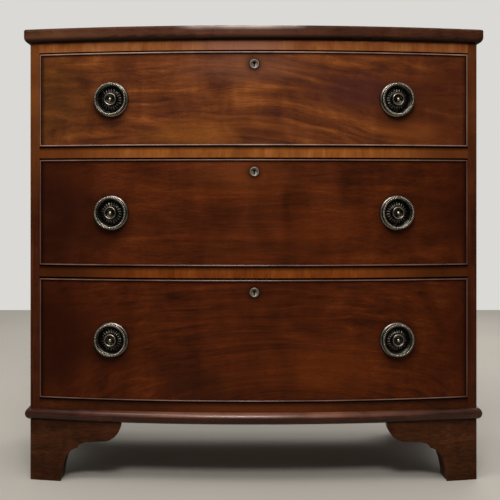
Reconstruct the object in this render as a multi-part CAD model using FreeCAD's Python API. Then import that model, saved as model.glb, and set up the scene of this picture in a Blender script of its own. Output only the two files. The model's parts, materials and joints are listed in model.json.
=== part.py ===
"""Bow front chest of drawers: a mahogany carcass on bracket feet, with three graduated long drawers.

Frame: X to the right, Y to the back, Z up, in millimetres. The origin is on the floor, at the centre of the
box round the whole object. Every front surface follows one vertical bow, an arc about the line x = 0,
y = BOW_CENTRE_Y. Each piece of wood, brass and iron is its own solid, jointed as a cabinet maker would:
stopped housings for the drawer dividers, lapped and through dovetails on the drawers, mitred mouldings,
brackets and cock beads.

An "outset" is a distance out from the bow, square to it; a piece inside the bow has a negative one.
"""
import FreeCAD, Part

import math
import os

from FreeCAD import Vector

# ---- Driving dimensions: the whole chest ----
CARCASS_HALF_W = 430.0       # centre line to the outer face of a side
BOW_SAG = 54.0               # how far the bow stands out at the centre from its ends
OVERALL_DEPTH = 510.0        # front of the top, at the bow's centre, to its back edge
TOP_T = 27.0
TOP_FRONT_OVERHANG = 12.0
TOP_SIDE_OVERHANG = 10.9
TOP_BACK_OVERHANG = 9.0
TOP_UPPER_ROUND = 4.5        # small round on the upper arris of the top
TOP_LOWER_ROUND = 11.5       # ovolo under the edge of the top

FOOT_H = 116.6
MOULDING_H = 22.7
MOULDING_NOSE = 9.6          # how far the round nose of the base moulding stands out
BASE_T = 22.0                # thickness of the foot brackets and of the base moulding behind its nose
BOTTOM_RAIL_T = 18.3
DIVIDER_T = 20.6
TOP_RAIL_T = 18.0
OPENING_H = {"bottom": 233.9, "middle": 206.4, "top": 181.9}

SIDE_T = 18.0
HOUSING = 8.0                # how deep dividers, boards and rails enter the sides
HOUSING_STOP = 12.0          # the housings stop this far behind the front
RAIL_BACK_Y = -145.0         # straight back edge of the front rails and dividers
BACK_T = 9.0
BACK_BOARDS = 3
BACK_BOARD_GAP = 0.6
DUSTBOARD_T = 8.0
BOTTOM_BOARD_T = 12.0
RUNNER_W = 36.0
BACK_RAIL_W = 60.0

# ---- Driving dimensions: nails and screws ----
NAIL_HEAD_R = 3.0
NAIL_HEAD_T = 1.2
NAIL_SHANK_R = 1.2
NAIL_BITE = 16.0             # how deep a nail goes into the side
NAIL_PLACES = (0.12, 0.5, 0.88)   # up the width of each back board
SCREW_X = (-300.0, -100.0, 100.0, 300.0)
SCREW_HEAD_R = 4.0
SCREW_HEAD_H = 3.0
SCREW_SHANK_R = 2.0
SCREW_SINK = 1.0             # how far the head is let in
SCREW_BITE = 13.0            # how deep a screw goes into the top
FRONT_SCREW_SETBACK = 20.0   # from the back edge of the top rail

# ---- Driving dimensions: a drawer ----
SIDE_GAP = 0.8
TOP_GAP = 2.8
BOTTOM_GAP = 1.9
RUNNING_GAP = 0.3            # drawer sides stand this far above what they run on
FRONT_T = 22.0
BEAD_T = 3.2
BEAD_OUT = 3.2               # how far the cock beads stand proud
BEAD_SET_IN = 6.0
LINING_T = 10.0              # drawer sides and back
LINING_DROP = 7.0            # the sides stop this far below the top of the front
BACK_DROP = 3.0              # and the back this far below the sides
LINING_INSET = 0.8           # the sides stand this far inside the ends of the front
DRAWER_BACK_Y = 222.0
LAP = 7.0                    # wood left in front of the lapped dovetails
TAIL_PITCH = 38.0
PIN_NARROW = 5.0
PIN_WIDE = 11.0
BOARD_T = 7.0                # drawer bottom
BOARD_RISE = 7.0             # its height above the lower edge of the drawer
GROOVE = 5.0
STOP_X = 200.0
STOP_L, STOP_W, STOP_H = 40.0, 12.0, 5.0

# ---- Driving dimensions: locks ----
KEYHOLE_DROP = 23.7          # middle of the escutcheon, below the top of the drawer front
KEYHOLE_RISE = 2.0           # the keyhole's round part stands this far above that
KEYHOLE_R = 3.1
KEYHOLE_SLOT_W = 2.4
KEYHOLE_SLOT_L = 8.0
KEYHOLE_WOOD = 0.2           # the hole in the wood is this much larger all round
PLATE_W, PLATE_T, PLATE_H = 70.0, 1.5, 46.0
CASE_W, CASE_D, CASE_H = 48.0, 10.5, 40.0
CASE_WALL = 1.5
LOCK_SET_IN = 0.4            # the lock plate lies this far inside the back of the front
KEY_PIN_R = 1.1
BOLT_W, BOLT_T, BOLT_H = 22.0, 5.0, 17.0
BOLT_SLACK = 0.3
BOLT_SINK = 0.5              # below the top of the case when drawn back
BOLT_TRAVEL = 8.0
MORTISE_SLACK = 1.0
LOCK_SCREW_HEAD_R = 2.6
LOCK_SCREW_HEAD_T = 0.8
LOCK_SCREW_R = 1.3
LOCK_SCREW_BITE = 7.0
LOCK_SCREW_EDGE = 6.0        # from the edges of the plate
ESCUTCHEON_R = 9.0
ESCUTCHEON_T = 1.0
ESCUTCHEON_RIM_R = 1.3

# ---- Driving dimensions: ring handles ----
HANDLE_X = 270.3
HANDLE_DROP = 0.5            # the boss is this far below the middle of the drawer front
RING_R = 28.9
RING_TUBE_R = 2.7
RING_OUT = 13.5              # how far the ring's own plane stands off the drawer front
ROSETTE_R = 33.4
RIM_H = 5.2                  # height of the rolled rim of the rosette
BOSS_FLOOR = 10.4            # the floor of the recess in the boss, off the drawer front
FLUTES = 22
FLUTE_R = 1.15
FLUTE_START = (13.8, 5.6)    # (radius, height off the drawer front) of the middle of a flute
FLUTE_END = (20.8, 3.1)
COLLAR_R = 2.1               # the pivot post's collar, between the rim and the knuckle
KNUCKLE_R = 2.7
KNUCKLE_HALF_L = 2.2
KNUCKLE_GAP = 0.4            # between the knuckle and each end of the ring
RING_PIN_R = 1.0
RING_PIN_SPACE = 1.0         # between the tips of the two pins
PIN_CLEARANCE = 0.05
BUTTON_R = 3.4
CENTRE_SHANK_R = 2.0
PIVOT_SHANK_R = 1.5
HOLE_CLEARANCE = 0.1
SHANK_IN = 29.0              # how far the shanks reach behind the drawer front's face
NUT_T = 4.0
NUT_HALF_W = 4.8
NUT_SEAT = 0.01              # the nut is flat and the wood behind it is hollowed by the bow

# ---- Driving dimensions: bracket feet ----
BRACKET_LEN = 178.0          # from the corner to the tip of the bracket
LEG_W = 60.0                 # at the floor
FOOT_BLOCK_REACH = 82.0      # from the corner to the inner face of the block
FOOT_BLOCK_DEPTH = 40.0
REAR_LEG_W = 70.0
REAR_BRACKET_LEN = 142.0

# ---- Heights and the bow, worked out ----
CARCASS_Z = FOOT_H + MOULDING_H
TOP_Z = CARCASS_Z + BOTTOM_RAIL_T + sum(OPENING_H.values()) + 2 * DIVIDER_T + TOP_RAIL_T
OVERALL_H = TOP_Z + TOP_T
INNER_HALF_W = CARCASS_HALF_W - SIDE_T
TOP_HALF_W = CARCASS_HALF_W + TOP_SIDE_OVERHANG
TOP_BACK_Y = OVERALL_DEPTH / 2
BACK_Y = TOP_BACK_Y - TOP_BACK_OVERHANG
FRONT_Y = -OVERALL_DEPTH / 2 + TOP_FRONT_OVERHANG
BOW_R = (CARCASS_HALF_W ** 2 + BOW_SAG ** 2) / (2 * BOW_SAG)
BOW_CENTRE_Y = FRONT_Y + BOW_R
FRONT_HALF_W = INNER_HALF_W - SIDE_GAP
FAR = 2000.0                 # longer than anything here, for cutting tools

OPENING_Z = {"bottom": CARCASS_Z + BOTTOM_RAIL_T}
OPENING_Z["middle"] = OPENING_Z["bottom"] + OPENING_H["bottom"] + DIVIDER_T
OPENING_Z["top"] = OPENING_Z["middle"] + OPENING_H["middle"] + DIVIDER_T
DIVIDER_Z = {"lower": OPENING_Z["middle"] - DIVIDER_T, "upper": OPENING_Z["top"] - DIVIDER_T}

ORIGIN = Vector(0, 0, 0)
UP = Vector(0, 0, 1)
OUT = Vector(0, -1, 0)


# ---- Shapes that everything is made from ----
def bow_y(x, outset=0.0):
    """The y of the bow at x, or of the surface at an outset from it."""
    return BOW_CENTRE_Y - math.sqrt((BOW_R + outset) ** 2 - x ** 2)


def on_bow(x, outset, z):
    return Vector(x, bow_y(x, outset), z)


def box(x0, x1, y0, y1, z0, z1):
    return Part.makeBox(x1 - x0, y1 - y0, z1 - z0, Vector(x0, y0, z0))


def cylinder(radius, start, end):
    along = end - start
    return Part.makeCylinder(radius, along.Length, start, along)


def lines(*points):
    """Straight edges from each point to the next."""
    return [Part.makeLine(a, b) for a, b in zip(points, points[1:])]


def prism(points, direction):
    """A flat polygon pushed along direction."""
    return Part.Face(Part.makePolygon(points + points[:1])).extrude(direction)


def bow_edge(x0, x1, outset, z):
    return Part.Arc(*[on_bow(x, outset, z) for x in (x0, (x0 + x1) / 2, x1)]).toShape()


def bow_slab(x0, x1, z0, z1, front_outset, back_outset):
    """A board bent to the bow, between two outsets."""
    front = bow_edge(x0, x1, front_outset, z0)
    right = lines(on_bow(x1, front_outset, z0), on_bow(x1, back_outset, z0))
    back = bow_edge(x1, x0, back_outset, z0)
    left = lines(on_bow(x0, back_outset, z0), on_bow(x0, front_outset, z0))
    return Part.Face(Part.Wire([front, *right, back, *left])).extrude(UP * (z1 - z0))


def bow_fronted_board(x0, x1, back_y, z0, z1, outset=0.0):
    """A board with its front edge cut to the bow and the others straight."""
    front = bow_edge(x0, x1, outset, z0)
    rest = lines(on_bow(x1, outset, z0), Vector(x1, back_y, z0), Vector(x0, back_y, z0),
                 on_bow(x0, outset, z0))
    return Part.Face(Part.Wire([front, *rest])).extrude(UP * (z1 - z0))


def bow_moulding(profile, half_w):
    """A profile drawn across the bow at x = 0, swept round it a little past half_w to each side."""
    sweep = math.degrees(math.asin(half_w / BOW_R)) + 1.0
    centre = Vector(0, BOW_CENTRE_Y, 0)
    face = Part.Face(profile)
    face.rotate(centre, UP, -sweep)
    return face.revolve(centre, UP, 2 * sweep)


def mirrored(shape):
    return shape.mirror(ORIGIN, Vector(1, 0, 0))


def joined(first, *others):
    return first.multiFuse(list(others)).removeSplitter()


def less(shape, *tools):
    return shape.cut(list(tools))


def group(*shapes):
    """Separate solids kept in one node."""
    return Part.makeCompound([solid for shape in shapes for solid in shape.Solids])


def mitre_tool(outset):
    """Everything on the side's part of the right front mitre. The mitre runs through the chest's corner and
    the corner of a moulding that stands out, or a bracket that goes in, by outset."""
    corner = on_bow(CARCASS_HALF_W, 0, 0)
    along = on_bow(CARCASS_HALF_W + outset, outset, 0) - corner
    along.normalize()
    outer = corner + along * math.copysign(FAR, outset)
    inner = corner - along * math.copysign(FAR, outset)
    back = Vector(0, FAR, 0)
    return prism([inner, outer, outer + back, inner + back], UP * FAR)


# ---- Carcass ----
def top_board():
    """The top, with a small round above and an ovolo below, on its front and ends."""
    board = bow_fronted_board(-TOP_HALF_W, TOP_HALF_W, TOP_BACK_Y, TOP_Z, OVERALL_H, TOP_FRONT_OVERHANG)

    def moulded_edges(z):
        level = [e for e in board.Edges if all(abs(v.Point.z - z) < 1e-6 for v in e.Vertexes)]
        return [e for e in level if e.BoundBox.YMin < TOP_BACK_Y - 1]
    board = board.makeFillet(TOP_LOWER_ROUND, moulded_edges(TOP_Z))
    return board.makeFillet(TOP_UPPER_ROUND, moulded_edges(OVERALL_H))


def side_board():
    """The right side, its front edge cut to the bow, before the housings are cut in it."""
    return bow_fronted_board(INNER_HALF_W, CARCASS_HALF_W, BACK_Y, CARCASS_Z, TOP_Z)


def front_rail(z0, z1):
    """A rail or drawer divider: bowed front, straight back, and a stopped tenon at each end."""
    rail = bow_fronted_board(-INNER_HALF_W, INNER_HALF_W, RAIL_BACK_Y, z0, z1)
    tenon = box(INNER_HALF_W - HOUSING, INNER_HALF_W + HOUSING,
                bow_y(INNER_HALF_W) + HOUSING_STOP, RAIL_BACK_Y, z0, z1)
    return joined(rail, tenon, mirrored(tenon))


def bolt_mortise(opening):
    """The pocket above a drawer that takes the bolt of its lock."""
    ceiling = OPENING_Z[opening] + OPENING_H[opening]
    half_w = BOLT_W / 2 + MORTISE_SLACK
    half_t = BOLT_T / 2 + MORTISE_SLACK
    y = lock_bolt_y()
    return box(-half_w, half_w, y - half_t, y + half_t, ceiling, ceiling + BOLT_TRAVEL)


def upper_back_rail():
    half_w = INNER_HALF_W + HOUSING
    back = BACK_Y - BACK_T
    return box(-half_w, half_w, back - BACK_RAIL_W, back, TOP_Z - TOP_RAIL_T, TOP_Z)


def base_back_rail():
    """Closes the base frame behind, between the side mouldings."""
    half_w = CARCASS_HALF_W - BASE_T
    return box(-half_w, half_w, BACK_Y - BASE_T, BACK_Y, FOOT_H, CARCASS_Z)


def dustboard(divider):
    """Grooved into the divider in front and the runners at its ends."""
    z0 = DIVIDER_Z[divider] + (DIVIDER_T - DUSTBOARD_T) / 2
    half_w = INNER_HALF_W - RUNNER_W + HOUSING
    return box(-half_w, half_w, RAIL_BACK_Y - HOUSING, BACK_Y - BACK_T, z0, z0 + DUSTBOARD_T)


def bottom_board():
    half_w = INNER_HALF_W + HOUSING
    z1 = OPENING_Z["bottom"]
    return box(-half_w, half_w, RAIL_BACK_Y, BACK_Y - BACK_T, z1 - BOTTOM_BOARD_T, z1)


def runner(divider):
    z0 = DIVIDER_Z[divider]
    return box(INNER_HALF_W - RUNNER_W, INNER_HALF_W, RAIL_BACK_Y, BACK_Y - BACK_T, z0, z0 + DIVIDER_T)


def kicker():
    """Keeps the top drawer from tipping as it is pulled out."""
    return box(INNER_HALF_W - RUNNER_W, INNER_HALF_W, RAIL_BACK_Y,
               BACK_Y - BACK_T - BACK_RAIL_W, TOP_Z - TOP_RAIL_T, TOP_Z)


def drawer_stop(opening, x):
    """A block behind the foot of the drawer front, which it meets when the drawer is shut."""
    y0 = RUNNING_GAP + max(bow_y(x + STOP_L / 2, -FRONT_T), bow_y(x - STOP_L / 2, -FRONT_T))
    z0 = OPENING_Z[opening]
    return box(x - STOP_L / 2, x + STOP_L / 2, y0, y0 + STOP_W, z0, z0 + STOP_H)


def back_board_z(i):
    """The lower edge of back board i, counted from below."""
    return CARCASS_Z + i * (TOP_Z - CARCASS_Z) / BACK_BOARDS


def back_board(i):
    half_w = INNER_HALF_W + HOUSING
    half_gap = BACK_BOARD_GAP / 2
    low = back_board_z(i) + half_gap
    high = back_board_z(i + 1) - half_gap
    return box(-half_w, half_w, BACK_Y - BACK_T, BACK_Y, low, high)


def nail(x, z):
    """A clout nail through a back board into the side."""
    head = cylinder(NAIL_HEAD_R, Vector(x, BACK_Y, z), Vector(x, BACK_Y + NAIL_HEAD_T, z))
    shank = cylinder(NAIL_SHANK_R, Vector(x, BACK_Y - BACK_T - NAIL_BITE, z), Vector(x, BACK_Y, z))
    return joined(head, shank)


def back_nails():
    x = INNER_HALF_W + HOUSING / 2
    pitch = back_board_z(1) - back_board_z(0)
    right = [nail(x, back_board_z(i) + place * pitch) for i in range(BACK_BOARDS) for place in NAIL_PLACES]
    return right + [mirrored(n) for n in right]


def top_screw_places():
    front_y = RAIL_BACK_Y - FRONT_SCREW_SETBACK
    back_y = BACK_Y - BACK_T - BACK_RAIL_W / 2
    return [(x, y) for y in (front_y, back_y) for x in SCREW_X]


def top_screw(x, y):
    """A screw up through a rail into the top, its head let into the rail."""
    head_z = TOP_Z - TOP_RAIL_T + SCREW_SINK
    head_end = Vector(x, y, head_z + SCREW_HEAD_H)
    head = Part.makeCone(SCREW_HEAD_R, SCREW_SHANK_R, SCREW_HEAD_H, Vector(x, y, head_z), UP)
    return joined(head, cylinder(SCREW_SHANK_R, head_end, Vector(x, y, TOP_Z + SCREW_BITE)))


def screw_sinking(x, y):
    """The space under a screw's head, down to the face of the rail."""
    face_z = TOP_Z - TOP_RAIL_T
    return cylinder(SCREW_HEAD_R, Vector(x, y, face_z), Vector(x, y, face_z + SCREW_SINK))


# ---- Base moulding and feet ----
def nosed_profile(point, low, high, back, nose_start, nose_end):
    """A rectangle from back to nose_start, with a round nose that reaches nose_end."""
    tip = point(nose_end, (low + high) / 2)
    nose = Part.Arc(point(nose_start, low), tip, point(nose_start, high)).toShape()
    rest = lines(point(nose_start, high), point(back, high), point(back, low), point(nose_start, low))
    return Part.Wire([nose, *rest])


def moulding_front():
    def point(outset, z):
        return on_bow(0, outset, z)
    profile = nosed_profile(point, FOOT_H, CARCASS_Z, -BASE_T, 0, MOULDING_NOSE)
    strip = bow_moulding(profile, CARCASS_HALF_W + 2 * MOULDING_NOSE)
    side_part = mitre_tool(MOULDING_NOSE)
    return less(strip, side_part, mirrored(side_part))


def moulding_right():
    def point(outset, z):
        return Vector(CARCASS_HALF_W + outset, BACK_Y, z)
    profile = nosed_profile(point, FOOT_H, CARCASS_Z, -BASE_T, 0, MOULDING_NOSE)
    return Part.Face(profile).extrude(OUT * FAR).common(mitre_tool(MOULDING_NOSE))


def bracket(place, push):
    """A shaped bracket. place(along, z) puts a point on its outer face, along being measured from the
    chest's corner, and push is its thickness. A cove runs up inside the leg to a short step, and the wing
    ends in a tip that sweeps up to the moulding."""
    def arc(*points):
        return Part.Arc(*[place(*p) for p in points]).toShape()
    corner_top = (0.0, FOOT_H)
    leg_foot = (LEG_W, 0.0)
    cove_low = (LEG_W + 12.0, 51.0)
    cove_high = (LEG_W + 32.5, 65.0)
    step = (LEG_W + 36.0, 71.0)
    wing_start = (LEG_W + 57.0, 77.2)
    wing_end = (BRACKET_LEN - 30.0, 79.6)
    tip = (BRACKET_LEN, FOOT_H)
    edges = [
        *lines(place(*corner_top), place(0.0, 0.0), place(*leg_foot)),
        arc(leg_foot, (LEG_W + 4.0, 27.0), cove_low),
        arc(cove_low, (LEG_W + 20.5, 60.0), cove_high),
        *lines(place(*cove_high), place(*step)),
        arc(step, (LEG_W + 45.0, 75.4), wing_start),
        *lines(place(*wing_start), place(*wing_end)),
        arc(wing_end, (BRACKET_LEN - 10.5, 91.0), tip),
        *lines(place(*tip), place(*corner_top)),
    ]
    return Part.Face(Part.Wire(edges)).extrude(push)


def front_outline():
    """The shape of the right front bracket, right through the chest from front to back."""
    def place(along, z):
        return Vector(CARCASS_HALF_W - along, -FAR / 2, z)
    return bracket(place, Vector(0, FAR, 0))


def front_bracket():
    """The right front bracket, bent to the bow and mitred at the corner."""
    slab = bow_slab(CARCASS_HALF_W - BRACKET_LEN - 1, CARCASS_HALF_W + 1, 0, FOOT_H, 0, -BASE_T)
    return slab.common(front_outline()).cut(mitre_tool(-BASE_T))


def side_bracket_front():
    """The right bracket of a front foot, mitred to the front one."""
    def place(along, z):
        return Vector(CARCASS_HALF_W - BASE_T, bow_y(CARCASS_HALF_W) + along, z)
    return bracket(place, Vector(BASE_T, 0, 0)).common(mitre_tool(-BASE_T))


def side_bracket_rear():
    def place(along, z):
        return Vector(CARCASS_HALF_W - BASE_T, BACK_Y - along, z)
    return bracket(place, Vector(BASE_T, 0, 0))


def rear_bracket():
    """The plain bracket behind a rear foot, cut on a slant, butted against the side one."""
    x1 = CARCASS_HALF_W - BASE_T
    y0 = BACK_Y - BASE_T
    foot_x = CARCASS_HALF_W - REAR_LEG_W
    top_x = CARCASS_HALF_W - REAR_BRACKET_LEN
    outline = [Vector(x1, y0, 0), Vector(foot_x, y0, 0), Vector(top_x, y0, FOOT_H), Vector(x1, y0, FOOT_H)]
    return prism(outline, Vector(0, BASE_T, 0))


def foot_block_front():
    """The block behind the leg, shaped with the bracket below, square above."""
    x0 = CARCASS_HALF_W - FOOT_BLOCK_REACH
    x1 = CARCASS_HALF_W - BASE_T
    back = -BASE_T - FOOT_BLOCK_DEPTH
    shaped = bow_slab(x0, x1, 0, FOOT_H, -BASE_T, back).common(front_outline())
    return joined(shaped, bow_slab(x0, x1, FOOT_H, CARCASS_Z, -BASE_T, back))


def foot_block_rear():
    """A square block in the corner of a rear foot."""
    x1 = CARCASS_HALF_W - BASE_T
    y1 = BACK_Y - BASE_T
    return box(x1 - FOOT_BLOCK_DEPTH, x1, y1 - FOOT_BLOCK_DEPTH, y1, 0, CARCASS_Z)


# ---- Drawer woodwork ----
def front_z(opening):
    """Lower and upper edge of a drawer front."""
    return OPENING_Z[opening] + BOTTOM_GAP, OPENING_Z[opening] + OPENING_H[opening] - TOP_GAP


def level_bead(low):
    """A bead along the bow, its nose worked in four facets."""
    radius = BEAD_T / 2
    middle = low + radius
    nose = [(BEAD_OUT - radius + radius * math.cos(a), middle + radius * math.sin(a))
            for a in (math.radians(45 * i) for i in range(-2, 3))]
    outline = [on_bow(0, outset, z) for outset, z in nose]
    outline += [on_bow(0, -BEAD_SET_IN, low + BEAD_T), on_bow(0, -BEAD_SET_IN, low)]
    return bow_moulding(Part.makePolygon(outline + outline[:1]), FRONT_HALF_W + BEAD_T)


def upright_bead(z0, z1):
    """The bead at the right end of a drawer front."""
    y = bow_y(FRONT_HALF_W - BEAD_T / 2)

    def point(out, x):
        return Vector(x, y - out, z0)
    inner = FRONT_HALF_W - BEAD_T
    profile = nosed_profile(point, inner, FRONT_HALF_W, -BEAD_SET_IN, BEAD_OUT - BEAD_T / 2, BEAD_OUT)
    return Part.Face(profile).extrude(UP * (z1 - z0))


def bead_frame(opening):
    """Four mitred cock beads, set into the arrises of the front."""
    z0, z1 = front_z(opening)
    w = FRONT_HALF_W
    t = BEAD_T

    def mitred(bead, *outline):
        return bead.common(prism([Vector(x, -FAR / 2, z) for x, z in outline], Vector(0, FAR, 0)))
    top = mitred(level_bead(z1 - t), (-w, z1), (w, z1), (w - t, z1 - t), (t - w, z1 - t))
    bottom = mitred(level_bead(z0), (-w, z0), (w, z0), (w - t, z0 + t), (t - w, z0 + t))
    right = mitred(upright_bead(z0, z1), (w, z0), (w, z1), (w - t, z1 - t), (w - t, z0 + t))
    return [top, bottom, right, mirrored(right)]


def dovetail_pins(y_end, y_root, z0, z1, x0, x1):
    """The wood between dovetails: prisms along X, narrow at y_end, where the tails end, wide at y_root."""
    tails = round((z1 - z0) / TAIL_PITCH)
    pitch = (z1 - z0) / tails
    pins = []
    for i in range(tails + 1):
        z = z0 + i * pitch
        outline = [Vector(x0, y_end, z - PIN_NARROW / 2), Vector(x0, y_end, z + PIN_NARROW / 2),
                   Vector(x0, y_root, z + PIN_WIDE / 2), Vector(x0, y_root, z - PIN_WIDE / 2)]
        pins.append(prism(outline, Vector(x1 - x0, 0, 0)))
    return Part.makeCompound(pins)


def drawer_woodwork(opening):
    """Front, two sides, back and bottom of a drawer, dovetailed and grooved together, and its beads."""
    z0, z1 = front_z(opening)
    outer = FRONT_HALF_W - LINING_INSET
    inner = outer - LINING_T
    low = OPENING_Z[opening] + RUNNING_GAP
    high = z1 - LINING_DROP
    board_z = z0 + BOARD_RISE
    back_z0 = board_z + BOARD_T
    back_z1 = high - BACK_DROP
    back_y0 = DRAWER_BACK_Y - LINING_T
    tail_y = bow_y(outer) + LAP
    shoulder_y = bow_y(outer, -FRONT_T)

    front = bow_slab(-FRONT_HALF_W, FRONT_HALF_W, z0, z1, 0, -FRONT_T)
    back = box(-outer, outer, back_y0, DRAWER_BACK_Y, back_z0, back_z1)
    half_w = inner + GROOVE
    bottom = bow_fronted_board(-half_w, half_w, DRAWER_BACK_Y, board_z, back_z0, GROOVE - FRONT_T)
    beads = bead_frame(opening)

    front_pins = dovetail_pins(tail_y, shoulder_y, z0 + BEAD_T, high, inner, outer).common(front)
    below_tails = box(inner, outer, tail_y, shoulder_y, low, z0 + BEAD_T)
    back_pins = dovetail_pins(DRAWER_BACK_Y, back_y0, back_z0, back_z1, inner, outer).common(back)
    side = box(inner, outer, tail_y, DRAWER_BACK_Y, low, high)
    right = less(side, front_pins, below_tails, back_pins, bottom)
    left = mirrored(right)
    return {
        "front": less(front, right, left, bottom, *beads),
        "side_left": left,
        "side_right": right,
        "back": less(back, right, left),
        "bottom": bottom,
        "cockbeads": group(*beads),
    }


# ---- Locks ----
def lock_ys():
    """Where the lock lies in the front: its case's face, then the front and back of its plate."""
    plate_back = FRONT_Y + FRONT_T - LOCK_SET_IN
    plate_front = plate_back - PLATE_T
    return plate_front - CASE_D, plate_front, plate_back


def lock_bolt_y():
    case_front, plate_front, _ = lock_ys()
    return (case_front + plate_front) / 2


def keyhole_z(opening):
    """The middle of the keyhole's round part."""
    return front_z(opening)[1] - KEYHOLE_DROP + KEYHOLE_RISE


def keyhole(opening, y0, y1, larger=0.0):
    """A keyhole right through from y0 to y1: a round hole with a slot hanging from it."""
    z = keyhole_z(opening)
    half_w = KEYHOLE_SLOT_W / 2 + larger
    hole = cylinder(KEYHOLE_R + larger, Vector(0, y0, z), Vector(0, y1, z))
    return joined(hole, box(-half_w, half_w, y0, y1, z - KEYHOLE_SLOT_L - larger, z))


def bolt_shape(opening, slack=0.0):
    z1 = front_z(opening)[1] - BOLT_SINK
    y = lock_bolt_y()
    half_w = BOLT_W / 2 + slack
    half_t = BOLT_T / 2 + slack
    return box(-half_w, half_w, y - half_t, y + half_t, z1 - BOLT_H, z1 + BOLT_TRAVEL * (slack > 0))


def lock_screws(opening):
    z1 = front_z(opening)[1]
    _, plate_front, plate_back = lock_ys()
    head_y = plate_back - LOCK_SCREW_HEAD_T
    screws = []
    for x in (LOCK_SCREW_EDGE - PLATE_W / 2, PLATE_W / 2 - LOCK_SCREW_EDGE):
        for z in (z1 - LOCK_SCREW_EDGE, z1 - PLATE_H + LOCK_SCREW_EDGE):
            head = cylinder(LOCK_SCREW_HEAD_R, Vector(x, head_y, z), Vector(x, plate_back, z))
            shank = cylinder(LOCK_SCREW_R, Vector(x, plate_front - LOCK_SCREW_BITE, z), Vector(x, head_y, z))
            screws.append(joined(head, shank))
    return screws


def lock_body(opening, screws):
    """Plate and hollow case, with a slot above for the bolt, the keyhole and the pin for the key."""
    z1 = front_z(opening)[1]
    case_front, plate_front, plate_back = lock_ys()
    plate = box(-PLATE_W / 2, PLATE_W / 2, plate_front, plate_back, z1 - PLATE_H, z1)
    case = box(-CASE_W / 2, CASE_W / 2, case_front, plate_front, z1 - CASE_H, z1)
    hollow = box(CASE_WALL - CASE_W / 2, CASE_W / 2 - CASE_WALL, case_front + CASE_WALL, plate_front,
                 z1 - CASE_H + CASE_WALL, z1 - CASE_WALL)
    z = keyhole_z(opening)
    pin = cylinder(KEY_PIN_R, Vector(0, case_front, z), Vector(0, plate_front, z))
    shell = less(joined(plate, case), hollow, bolt_shape(opening, BOLT_SLACK),
                 keyhole(opening, case_front, case_front + CASE_WALL), *screws)
    return joined(shell, pin)


def lock_recess(opening):
    """What is cut out of the drawer front for the lock, and for the key to reach it."""
    z1 = front_z(opening)[1]
    case_front, plate_front, plate_back = lock_ys()
    return [
        box(-PLATE_W / 2, PLATE_W / 2, plate_front, plate_back + FRONT_T, z1 - PLATE_H, z1),
        box(-CASE_W / 2, CASE_W / 2, case_front, plate_front, z1 - CASE_H, z1),
        keyhole(opening, FRONT_Y, case_front, KEYHOLE_WOOD),
    ]


def escutcheon(opening):
    """A small round brass plate with a raised rim and a keyhole."""
    z = front_z(opening)[1] - KEYHOLE_DROP
    face = FRONT_Y - ESCUTCHEON_T
    plate = cylinder(ESCUTCHEON_R, Vector(0, FRONT_Y, z), Vector(0, face, z))
    rim = Part.makeTorus(ESCUTCHEON_R - ESCUTCHEON_RIM_R, ESCUTCHEON_RIM_R, Vector(0, face, z), OUT)
    behind = box(-FAR, FAR, FRONT_Y, FAR, 0, FAR)
    return less(joined(plate, rim), behind, keyhole(opening, face - ESCUTCHEON_RIM_R, FRONT_Y))


# ---- Ring handles, made at the origin facing -Y, then placed on the bow ----
def rosette_profile():
    """(radius, height off the drawer front) of the rosette, from its bore over the boss to its rim."""
    bore = CENTRE_SHANK_R + HOLE_CLEARANCE
    recess = [(bore, 0), (bore, BOSS_FLOOR), (8.4, BOSS_FLOOR), (9.0, 13.2)]
    boss = [(10.2, 14.4), (11.4, 14.0), (12.2, 12.4), (12.6, 9.0), (13.4, 5.0)]
    dish = [(21.0, 2.3), (24.4, 2.1), (26.2, 4.0)]
    rim = [(27.4, RIM_H), (31.0, RIM_H), (32.4, 4.2), (33.2, 2.4), (ROSETTE_R, 0)]
    return recess + boss + dish + rim


def rosette():
    outline = [Vector(radius, -height, 0) for radius, height in rosette_profile()]
    plate = Part.Face(Part.makePolygon(outline + outline[:1])).revolve(ORIGIN, OUT, 360)
    post_hole = cylinder(PIVOT_SHANK_R + HOLE_CLEARANCE, Vector(0, 0, RING_R), Vector(0, -RING_OUT, RING_R))
    start, end = [Vector(0, -height, radius) for radius, height in (FLUTE_START, FLUTE_END)]
    flutes = []
    for i in range(FLUTES):
        flute = cylinder(FLUTE_R, start, end)
        flute.rotate(ORIGIN, OUT, (i + 0.5) * 360.0 / FLUTES)
        flutes.append(flute)
    return less(plate, post_hole, *flutes)


def ring():
    """A ring broken at the top, with a pin on each end that turns in the pivot post's knuckle."""
    torus = Part.makeTorus(RING_R, RING_TUBE_R, OUT * RING_OUT, OUT)
    end_x = KNUCKLE_HALF_L + KNUCKLE_GAP
    reach = 2 * RING_TUBE_R
    gap = box(-end_x, end_x, -RING_OUT - reach, reach - RING_OUT, RING_R - reach, RING_R + reach)
    pin = cylinder(RING_PIN_R, Vector(RING_PIN_SPACE / 2, -RING_OUT, RING_R),
                   Vector(end_x + RING_TUBE_R / 2, -RING_OUT, RING_R))
    return joined(less(torus, gap), pin, mirrored(pin))


def nut(z, bolt):
    """A square nut on a bolt, against the back of the drawer front."""
    face = FRONT_T + NUT_SEAT
    return less(box(-NUT_HALF_W, NUT_HALF_W, face, face + NUT_T, z - NUT_HALF_W, z + NUT_HALF_W), bolt)


def centre_bolt():
    """The bolt through the boss, with a bright button for a head."""
    ball = Part.makeSphere(BUTTON_R, Vector(0, -BOSS_FLOOR - BUTTON_R / 3, 0))
    button = less(ball, box(-BUTTON_R, BUTTON_R, -BOSS_FLOOR, BUTTON_R, -BUTTON_R, BUTTON_R))
    return joined(button, cylinder(CENTRE_SHANK_R, Vector(0, -BOSS_FLOOR - 1, 0), Vector(0, SHANK_IN, 0)))


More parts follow.
